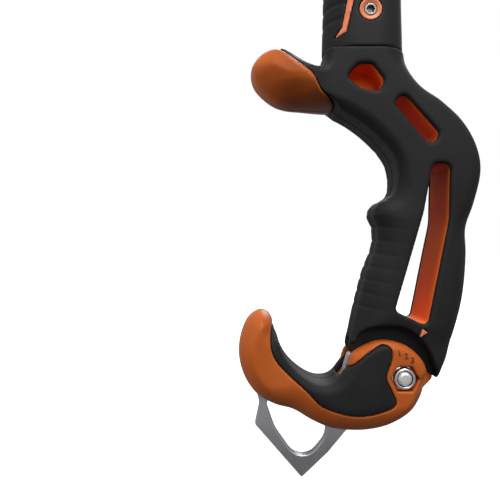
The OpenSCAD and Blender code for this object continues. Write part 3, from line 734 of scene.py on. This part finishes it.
def spoon_field(grid):
    """Spoon-shaped finger rest: half an ellipse across, from its rim at the horn to its outer curve."""
    from_rim = spoon_rim(grid)
    to_outer = -grid.open_curve(SPOON_OUTER, [(20, 100), (20, 160)])
    depth = np.maximum(from_rim + to_outer, 1.0)
    share = np.clip(from_rim / depth, 0, 1.5)
    top = np.sqrt(np.clip(1 - (np.maximum(grid.z - SPOON_TOP, 0) / SPOON_TALL) ** 2, 0.01, 1))
    width = (PAD_HALF - SPOON_TIP * ease(-grid.z, -124, -112)) * top
    round_out = (np.sqrt(share**2 + (grid.ay / width) ** 2 + 1e-6) - 1) * np.minimum(width, depth) * 0.9
    under = SPOON_BOW * (grid.ay / PAD_HALF) ** 2 * ease(grid.x, -60, -34)
    field = both(round_out, under - to_outer, 4.0)
    return both(field, -from_rim, 2.4)


def finger_rest():
    """The spoon with a faint seam round its middle."""
    grid = Grid((-67, -20.4, 110.5), (-23, 20.4, 143), FINE_STEP)
    field = spoon_field(grid) + SPOON_SEAM * bell(grid.y, 0.45)
    solid("finger_rest_moulding", field, grid, "tool", ORANGE, ["finger_rest_pad"])


# ---- grip rest
REST_BOW_R = 15.6  # how round the hook's outer face is
REST_EDGE, HOOK_EDGE = 0.8, 6.2  # how round the long edges are, and how much rounder along the hook
REST_HOLLOW = 4.0  # how round the edges of its inner side are
SLOT_R = FORK_R + 1
PAD_SKIN, PAD_PLAY, PAD_SEAM = 2.2, 0.12, 0.5
SCREW_BORE, BOLT_HEAD_R, BOLT_HEAD_BORE = 2.8, 5.4, 5.7


def rest_field(grid):
    """The whole grip rest: a convex outer face, a flat side with rounded edges, and the hook's hollow."""
    outer = grid.open_curve(REST_OUTER, [(20, 0), (30, 60), (-40, 30)])
    inner = grid.open_curve(REST_INNER, [(-56, 60), (-120, 60), (-120, -60), (60, -60), (60, 0)])
    bow = REST_BOW_R - np.sqrt(np.maximum(REST_BOW_R**2 - np.minimum(grid.ay, 15) ** 2, 1))
    strength = 1 - 0.22 * ease(grid.x, -56, -22)
    edge_round = REST_EDGE + HOOK_EDGE * ease(grid.x, -60, -44) * (1 - ease(grid.x, -12, 4))
    edge = slab(outer + bow * strength, grid.ay - REST_HALF, edge_round)
    tip = ease(grid.z, 12, 26) * (1 - ease(grid.x, -52, -46))
    return both(edge, inner + bow * (0.10 + 0.35 * tip), REST_HOLLOW)


def rest_cuts(grid, field):
    """Room for the fork's ears, the spike plate, the bolt, the nut and the screws."""
    field = cut(field, both(grid.rod(CENTRE, SLOT_R), grid.ay - CHEEK_IN), 0.5)
    field = cut(field, both(grid.outline(fillet(SPIKE)) - 0.1, grid.ay - PLATE_HALF), 0.2)
    field = cut(field, grid.rod(CENTRE, BOLT_R + BOLT_PLAY))
    field = cut(field, both(grid.hexagon(CENTRE, NUT_FLATS + 0.5), grid.y - NUT_SEAT), 0.5)
    field = cut(field, both(grid.rod(CENTRE, BOLT_HEAD_BORE), BOLT_SEAT - grid.y), 0.5)
    for at in SCREWS:
        field = cut(field, both(grid.rod(at, SCREW_BORE), BOLT_SEAT - grid.y), 0.4)
    return field


def griprest_pieces():
    """Two orange halves, and the soft pad that lies in a seat on their inside and sides."""
    grid = Grid((-72, -14, -26.5), (13, 14, 30), FINE_STEP)
    whole = rest_field(grid)
    pad_side = grid.outline(smooth(REST_PAD))
    seat = both(pad_side - PAD_PLAY, -(whole + PAD_SKIN), 0.3)
    shell = rest_cuts(grid, cut(whole, seat, 0.6))
    for side, name in SIDES:
        half = both(shell, PARTING - side * grid.y, 0.3)
        solid(f"griprest_{name}_shell", half, grid, "griprest", ORANGE, [f"griprest_{name}"])
    pad = both(whole - 0.25 + PAD_SEAM * bell(grid.y, 0.5), pad_side, 1.2)
    pad = both(pad, -(whole + PAD_SKIN - 0.05), 0.2)
    pad = cut(pad, both(grid.rod(CENTRE, SLOT_R), grid.ay - CHEEK_IN), 0.4)
    solid("griprest_soft_pad", pad, grid, "griprest", RUBBER, ["griprest_pad"])


def spike_plate():
    """The steel plate between the two halves."""
    holes = [*[circle(at, SPIKE_PIN_R) for at in SPIKE_PINS], circle(CENTRE, BOLT_R + BOLT_PLAY)]
    outlines = [fillet(SPIKE), fillet(SPIKE_HOLE), *holes]
    flat_plate("spike_plate", outlines, PLATE_HALF, SPIKE_BEVEL, "griprest", SPIKE_STEEL, ["spike"])


NUMERAL_SIZE, NUMERAL_LIFT, NUMERAL_THICK = 3.2, 0.2, 0.12


def numerals():
    """Numbers beside the pivot, for the settings, laid on the moulding."""
    for text, (x, z), tilt in NUMERALS:
        font = bpy.data.curves.new("numeral", "FONT")
        font.body, font.size, font.offset = text, NUMERAL_SIZE, 0.05
        font.align_x, font.align_y = "CENTER", "CENTER"
        font.resolution_u = 3
        mesh = mesh_of(font)
        mesh.transform(UPRIGHT @ Matrix.Rotation(math.radians(tilt), 4, "Z"))
        mesh.transform(Matrix.Translation((x, -REST_HALF - 2, z)))
        obj = linked("setting_" + text, mesh)
        place(obj, AT_PIVOT, "griprest", MARK, [])
        wrap = obj.modifiers.new("wrap", "SHRINKWRAP")
        wrap.target = bpy.data.objects["griprest_left_shell"]
        wrap.wrap_method = "PROJECT"
        wrap.use_project_y = True
        wrap.use_positive_direction = True
        wrap.offset = NUMERAL_LIFT * MM
        thick = obj.modifiers.new("thick", "SOLIDIFY")
        thick.thickness = NUMERAL_THICK * MM


def circle(at, radius, count=40):
    """Points round a circle."""
    return [(at[0] + radius * math.cos(a), at[1] + radius * math.sin(a))
            for a in np.arange(count) * 2 * math.pi / count]


HEX_DROP, HEX_R, NUT_COLLAR_R = 1.9, 5.2, 4.5  # the hexagon starts below the collar's rim
RING_SEAT_R, RING_R, RING_HALF = 3.35, 3.18, 0.14
THREAD_DEEP, BOLT_CHAMFER, BOLT_HEAD_TALL, SOCKET_FLATS = 0.28, 0.9, 3.4, 4


def pivot_hardware():
    """Lock nut with its collar, the nylon ring in it, and the bolt's threaded end and socket head."""
    grid, radius = grid_about(CENTRE, 6.4, -14, -6.8)
    hexagon = both(grid.hexagon(CENTRE, NUT_FLATS), grid.between(NUT_TOP + HEX_DROP, NUT_SEAT), 0.3)
    hexagon = both(hexagon, radius - HEX_R - 0.7 * (grid.y - NUT_TOP - HEX_DROP), 0.3)
    rim = slab(radius - NUT_COLLAR_R, grid.between(NUT_TOP, NUT_SEAT - 1), 0.7)
    nut = cut(either(hexagon, rim, 0.3), radius - BOLT_R - BOLT_PLAY)
    nut = cut(nut, both(radius - RING_SEAT_R, grid.y - NUT_TOP - 1.4), 0.35)
    solid("lock_nut_detailed", nut, grid, "griprest", ZINC, ["lock_nut"])
    ring = both(np.abs(radius - RING_R) - RING_HALF, grid.between(NUT_TOP + 0.3, NUT_TOP + 1.35))
    solid("nylon_ring_detailed", ring, grid, "griprest", NYLON, ["nylon_ring"])
    grid, radius = grid_about(CENTRE, 6.2, -14, 13.6)
    turn = np.arctan2(grid.z, grid.x) / (2 * math.pi)
    thread = THREAD_DEEP * np.abs((grid.y + turn) % 1.0 - 0.5) * ease(-grid.y, 6.2, 7.2)
    rod = both(radius - BOLT_R + thread, grid.between(BOLT_END, 10))
    rod = both(rod, (radius - BOLT_R + BOLT_CHAMFER - grid.y + BOLT_END) * 0.7, 0.1)
    head = slab(radius - BOLT_HEAD_R, grid.between(BOLT_SEAT, BOLT_SEAT + BOLT_HEAD_TALL), 0.6)
    bolt = cut(either(rod, head), both(grid.hexagon(CENTRE, SOCKET_FLATS), 10.2 - grid.y), 0.3)
    solid("pivot_bolt_detailed", bolt, grid, "griprest", DULL_ZINC, ["pivot_bolt"])


# ---- shaft and sleeve
SLEEVE_LOW, SLEEVE_WAIST, SLEEVE_SKIN = JOINT_Z + 0.15, 0.5, 0.45
SLEEVE_PITCH, SLEEVE_RIBS, SLEEVE_RIB_WIDTH = 6.5, 12, 0.12
STRIPE_DEEP, COLLAR_R = 1.2, 4.6
CROSS_R, CROSS_HEAD_R, CROSS_IN, CROSS_OUT = 2, 2.6, 10.1, 13.2  # bolt, its head, and that head's depths


def sleeve_pieces():
    """Rubber sleeve with ribs in front, its inlay stripes and the collars of the cross bolt."""
    grid = Grid((-34, -15.2, JOINT_Z - 1), (3, 15.2, SLEEVE_TOP + 1.4), STEP)
    waist = SLEEVE_WAIST * ease(grid.z, SLEEVE_LOW, SLEEVE_LOW + 26)
    wall = oval(grid, SLEEVE_W, SLEEVE_T) + waist - SLEEVE_SKIN
    share = (grid.z - SLEEVE_LOW - 9) / SLEEVE_PITCH
    wave = bell(share - np.floor(share) - 0.5, SLEEVE_RIB_WIDTH)
    wave = wave * ease(share, 0, 0.5) * (1 - ease(share, SLEEVE_RIBS - 0.5, SLEEVE_RIBS))
    wall = wall + RIB_DEPTH * wave * ease(AXIS_X - grid.x, 5, 13)
    lip = ease(grid.z, SLEEVE_TOP - 7, SLEEVE_TOP - 5.6)
    outer = slab(wall + lip, level(grid, SLEEVE_LOW, SLEEVE_TOP), 0.7)
    stripe = grid.outline(fillet(STRIPE))
    groove = both(stripe - 0.1, -(wall + STRIPE_DEEP), 0.1)
    sleeve = cut(cut(outer, oval(grid, SHAFT_W, SHAFT_T) - 0.05), groove, 0.3)
    sleeve = cut(sleeve, grid.rod(CROSS_AT, COLLAR_R + 0.05), 0.4)
    solid("upper_grip_sleeve", sleeve, grid, "tool", RUBBER, ["upper_grip"])
    inlay = both(both(stripe, wall - 0.05, 0.4), -(wall + STRIPE_DEEP - 0.05), 0.1)
    for side, name in SIDES:
        half = both(inlay, -side * grid.y)
        solid(f"grip_stripe_{name}_inlay", half, grid, "tool", INLAY, [f"grip_stripe_{name}"])
        collar(side, name)


def collar(side, name):
    """Ring round the cross bolt, dished towards it."""
    low, high = span(side, CROSS_IN, 13.5)
    grid, radius = grid_about(CROSS_AT, 5.4, low - 0.6, high + 0.6)
    dish = 0.5 * (1 - ease(radius, CROSS_HEAD_R, 4.2))
    ring = slab(radius - COLLAR_R, grid.between(low, high) + dish, 0.35)
    ring = cut(ring, radius - CROSS_HEAD_R - 0.1, 0.2)
    solid(f"collar_{name}_ring", ring, grid, "tool", INLAY, [f"collar_{name}"])


def cross_hardware():
    """The small bolt through the sleeve and its barrel nut."""
    grid, radius = grid_about(CROSS_AT, 3.2, -13.8, 12)
    shank = both(radius - CROSS_R, grid.between(-13, 11.4), 0.3)
    head = slab(radius - CROSS_HEAD_R, grid.between(-CROSS_OUT, -CROSS_IN), 0.35)
    bolt = cut(either(shank, head), both(grid.hexagon(CROSS_AT, 2.9), grid.y + 11.3), 0.25)
    solid("cross_bolt_detailed", bolt, grid, "tool", CROSS_ZINC, ["cross_bolt"])
    grid, radius = grid_about(CROSS_AT, 3.2, 9.4, 13.8)
    barrel = slab(radius - CROSS_HEAD_R, grid.between(CROSS_IN, CROSS_OUT), 0.35)
    barrel = cut(barrel, both(radius - CROSS_R - 0.05, grid.y - 12), 0.1)
    barrel = cut(barrel, both(grid.hexagon(CROSS_AT, 2.5), 11.5 - grid.y), 0.25)
    solid("cross_nut_detailed", barrel, grid, "tool", CROSS_ZINC, ["cross_nut"])


LINE_POINTS, BEND_POINTS, RING_POINTS = 12, 13, 12


def shaft_line():
    """Centre line of the shaft: points with the direction that the section faces."""
    line = [(AXIS_X, z, 0.0) for z in np.linspace(JOINT_Z, BEND_Z, LINE_POINTS)]
    centre = AXIS_X - BEND_R
    for a in np.linspace(0, SHAFT_LEAN, BEND_POINTS)[1:]:
        line.append((centre + BEND_R * math.cos(a), BEND_Z + BEND_R * math.sin(a), a))
    x, z = line[-1][:2]
    eye = Vector((-PIVOT.x, -PIVOT.z))
    along = (Vector((x, z)) - eye) @ Vector((-math.sin(SHAFT_LEAN), math.cos(SHAFT_LEAN)))
    for step in np.linspace(0, SEAT_W - along, 8)[1:]:
        line.append((x - step * math.sin(SHAFT_LEAN), z + step * math.cos(SHAFT_LEAN), SHAFT_LEAN))
    return line


def oval_ring(x, z, lean, width, thick):
    """Flat-sided oval section of the shaft at one place of its line."""
    flat = (width - thick) / 2
    ring = []
    for side in (1, -1):
        for a in np.linspace(-math.pi / 2, math.pi / 2, RING_POINTS):
            u, y = side * (flat + thick / 2 * math.cos(a)), side * thick / 2 * math.sin(a)
            ring.append((x + u * math.cos(lean), y, z + u * math.sin(lean)))
    return ring


def shaft():
    """The bent aluminium tube."""
    line = shaft_line()
    outside = [oval_ring(*at, SHAFT_W, SHAFT_T) for at in line]
    inside = [oval_ring(*at, SHAFT_W - 2 * SHAFT_WALL, SHAFT_T - 2 * SHAFT_WALL) for at in reversed(line)]
    tube = swept("shaft_tube_drawn", outside + inside, "tool", SHAFT_ALLOY, ["shaft_tube"])
    tube.data.set_sharp_from_angle(angle=TUBE_CREASE)


# ---- head
PICK_PLAY, PICK_END, PICK_REACH = 0.03, 36, 134.0
TEETH, TEETH_FROM, TEETH_LONG, TOOTH_HALF = 15, 0.2, 0.74, 1.5  # places are shares of the pick's reach
GROOVE_PITCH, GROOVE_DEPTH = 4.2, 0.6


def bolt_seat(grid, field, at, blend):
    """Room for one of the head's bolts: its bore, its head's round seat and its nut's hexagonal one."""
    field = cut(field, grid.rod(at, PICK_BORE_R), 0.2)
    field = cut(field, both(grid.rod(at, PICK_HEAD_R + 0.2), grid.y + HEAD_HALF - PICK_SEAT), blend)
    return cut(field, both(grid.hexagon(at, NUT_FLATS + 0.4), HEAD_HALF - PICK_SEAT - grid.y), blend)


def head_forging():
    """Rounded block with the clip-in eye, thinner in its middle, and a slot for the pick."""
    grid = Grid((-33, -11.2, SEAT_W - 2), (24, 11.2, 22), FINE_STEP)
    edge = grid.outline(fillet(HEAD))
    waist = 2.2 * ease(-edge, 5, 12) * ease(grid.z, -26, -14)
    around_eye = 1 - ease(-grid.rod(CENTRE, 11), -2, 1)
    field = slab(edge, grid.ay - HEAD_HALF + waist * around_eye, 3.2)
    field = cut(field, both(grid.ay - PLATE_HALF - PICK_PLAY, -11 - grid.z), 0.5)
    field = cut(field, grid.rod(CENTRE, EYE_R), 2.0)
    field = bolt_seat(grid, field, HEAD_BOLTS[0], 0.6)
    solid("head_forging", field, grid, "tool", HEAD_ALLOY, ["head"], AT_HEAD)


def hammer_block():
    """Block behind the head, with a grooved face."""
    grid = Grid((20, -11.2, -10.5), (58, 11.2, 20), FINE_STEP)
    flare = 1.6 * (1 - ease(grid.x, 38, 52))
    field = slab(grid.outline(fillet(HAMMER)), grid.ay - HEAD_HALF + flare, 2.2)
    field = cut(field, both(grid.ay - PLATE_HALF - PICK_PLAY, grid.x - PICK_END - 0.1), 0.4)
    field = bolt_seat(grid, field, HEAD_BOLTS[1], 0.5)
    share = (grid.z - 5) / GROOVE_PITCH
    grooves = GROOVE_DEPTH * bell(share % 1.0 - 0.5, 0.16) * ease(grid.x, 54.6, 55.6)
    solid("hammer_block", field + grooves, grid, "tool", HAMMER_STEEL, ["hammer"], AT_HEAD)


def pick_top(t):
    """Point on the pick's back, from its root (0) to its tip (1)."""
    return np.array((-26 - PICK_REACH * t, 12 + 4 * t - 34 * t * t))


def pick_low(t):
    """Point on the middle line of the teeth."""
    return pick_top(t) - np.array((2 - 6 * t, 21 - 14 * t))


def pick_outline():
    """Root, teeth, tip and back."""
    points = [(PICK_END, 12), (PICK_END, -2), (20, -9), (-22, -9)]
    half = np.array((0, TOOTH_HALF))
    for k in range(TEETH):
        points.append(pick_low(TEETH_FROM + TEETH_LONG * k / TEETH) - half)
        points.append(pick_low(TEETH_FROM + TEETH_LONG * (k + 0.35) / TEETH) + half)
    points += [pick_low(TEETH_FROM + TEETH_LONG) - half, pick_top(1) + np.array((-3, -9))]
    points += [pick_top(k / 16) for k in range(16, -1, -1)]
    return np.array([tuple(p) for p in points])


def pick_blade():
    """The toothed pick with its eye and bolt holes."""
    holes = [circle(CENTRE, EYE_R + 0.5), *[circle(at, PICK_BORE_R, 24) for at in HEAD_BOLTS]]
    outlines = [pick_outline(), *holes]
    flat_plate("pick_blade", outlines, PLATE_HALF, PICK_BEVEL, "tool", PICK_STEEL, ["pick"], AT_HEAD)


def head_hardware():
    """Socket bolts and nuts through the head; each pair is one CAD node, so each is one piece."""
    low = [min(p[k] for p in HEAD_BOLTS) - 6.2 for k in (0, 1)]
    high = [max(p[k] for p in HEAD_BOLTS) + 6.2 for k in (0, 1)]
    grid = Grid((low[0], -11.2, low[1]), (high[0], 11.2, high[1]), 0.3)
    bolts, nuts = [], []
    for at in HEAD_BOLTS:
        radius = grid.rod(at, 0)
        shank = both(radius - PICK_BOLT_R, grid.between(-HEAD_HALF, HEAD_HALF + 0.4), 0.5)
        head = slab(radius - PICK_HEAD_R, grid.between(-HEAD_HALF - 0.2, -HEAD_HALF + PICK_SEAT), 0.6)
        socket = both(grid.hexagon(at, SOCKET_FLATS), grid.y + HEAD_HALF - 2)
        bolts.append(cut(either(shank, head), socket, 0.3))
        nut = both(grid.hexagon(at, NUT_FLATS), grid.between(HEAD_HALF - PICK_SEAT, HEAD_HALF + 1.2), 0.3)
        nut = both(nut, radius - 5.5 + 0.7 * (grid.y - HEAD_HALF - 0.4), 0.3)
        nuts.append(cut(nut, radius - PICK_BOLT_R - 0.05, 0.4))
    for node, fields in (("pick_bolts", bolts), ("pick_nuts", nuts)):
        solid(node + "_detailed", np.minimum(*fields), grid, "tool", ZINC, [node], AT_HEAD)


def plain_nodes():
    """CAD nodes whose shape is right keep it and get a finished material."""
    for name in ("head_pins", "spike_pins", "shell_screws", "thrust_washers"):
        node = frame["nodes"][name]
        node.data.materials.clear()
        node.data.materials.append(ZINC[0])


# ---- studio
def area_light(name, at, target, size, power):
    """Rectangular light that faces its target."""
    lamp = bpy.data.lights.new(name, "AREA")
    lamp.shape = "RECTANGLE"
    lamp.size, lamp.size_y = size
    lamp.energy = power
    obj = linked(name, lamp)
    obj.location = at
    obj.rotation_euler = (Vector(target) - Vector(at)).to_track_quat("-Z", "Y").to_euler()
    return obj


SKY_DIM, SKY_BRIGHT, MIRRORED = 0.02, 0.45, 0.25  # the sky's strengths, and what reflections add
FLOOR_R, FLOOR_GLOW = 9, 0.92
LENS, CAMERA_AT = 36, Vector((-0.0645, -0.220, 0.0537))  # the place is in metres from the pivot


def surroundings():
    """White behind the object, and for everything else a soft sky: bright overhead and dim from below."""
    world = bpy.data.worlds.new("studio")
    world.use_nodes = True
    tree = world.node_tree
    node, link = tree.nodes.new, tree.links.new
    background = tree.nodes["Background"]
    background.inputs["Color"].default_value = (1, 1, 1, 1)
    rays = node("ShaderNodeLightPath")
    split = node("ShaderNodeSeparateXYZ")
    link(node("ShaderNodeTexCoord").outputs["Generated"], split.inputs["Vector"])
    sky = map_range(tree, split.outputs["Z"], -0.35, 0.9, SKY_DIM, SKY_BRIGHT)
    mirror = node("ShaderNodeMath")
    mirror.operation = "MULTIPLY_ADD"
    mirror.inputs[1].default_value = MIRRORED
    link(rays.outputs["Is Glossy Ray"], mirror.inputs[0])
    link(sky, mirror.inputs[2])
    strength = node("ShaderNodeMix")
    strength.inputs["B"].default_value = 1.0
    link(rays.outputs["Is Camera Ray"], strength.inputs["Factor"])
    link(mirror.outputs[0], strength.inputs["A"])
    link(strength.outputs["Result"], background.inputs["Strength"])
    bpy.context.scene.world = world


def studio():
    """Soft boxes from above, in front and behind, and one that lights the windows' walls."""
    middle = (cad_low + cad_high) / 2
    grip = PIVOT * MM + Vector((0, 0, 0.07))
    area_light("key", grip + Vector((0.12, -0.55, 0.95)), grip, (0.45, 0.45), 9)
    area_light("front", grip + Vector((0.1, -1.1, 0.55)), grip, (0.7, 0.5), 4)
    area_light("back_fill", middle + Vector((0.5, 1.0, 0.7)), middle, (0.8, 0.8), 9)
    bounce = area_light("window_bounce", grip + Vector((-0.5, -0.12, 0.1)), grip, (0.3, 0.3), 1.0)
    bounce.visible_glossy = False
    bpy.context.scene.view_settings.view_transform = "Standard"


def pale_floor():
    """Plain floor just under the spike's tip. It shows, but neither lights nor mirrors in the object."""
    middle = (cad_low + cad_high) / 2
    place_at = (middle.x, 0, cad_low.z - MM)
    bpy.ops.mesh.primitive_circle_add(vertices=96, radius=FLOOR_R, fill_type="NGON", location=place_at)
    floor = bpy.context.object
    floor.name = "floor"
    floor.visible_diffuse = False
    floor.visible_glossy = False
    paint = Nodes("floor_paint", (0.55, 0.55, 0.55), 0.9, specular=0.0)
    paint.set("Emission Color", (1, 1, 1, 1))
    paint.set("Emission Strength", FLOOR_GLOW)
    floor.data.materials.append(paint.done())


def camera():
    """Square on to the tool's side, close to the grip, as in the photograph."""
    data = bpy.data.cameras.new("camera")
    data.sensor_width = data.lens = LENS
    data.clip_start, data.clip_end = 0.01, 50
    obj = linked("camera", data)
    obj.location = PIVOT * MM + CAMERA_AT
    obj.rotation_euler = (math.radians(90), 0, 0)
    bpy.context.scene.camera = obj


handle_pieces()
finger_rest()
griprest_pieces()
spike_plate()
pivot_hardware()
numerals()
sleeve_pieces()
cross_hardware()
shaft()
head_forging()
hammer_block()
pick_blade()
head_hardware()
plain_nodes()
surroundings()
studio()
pale_floor()
camera()
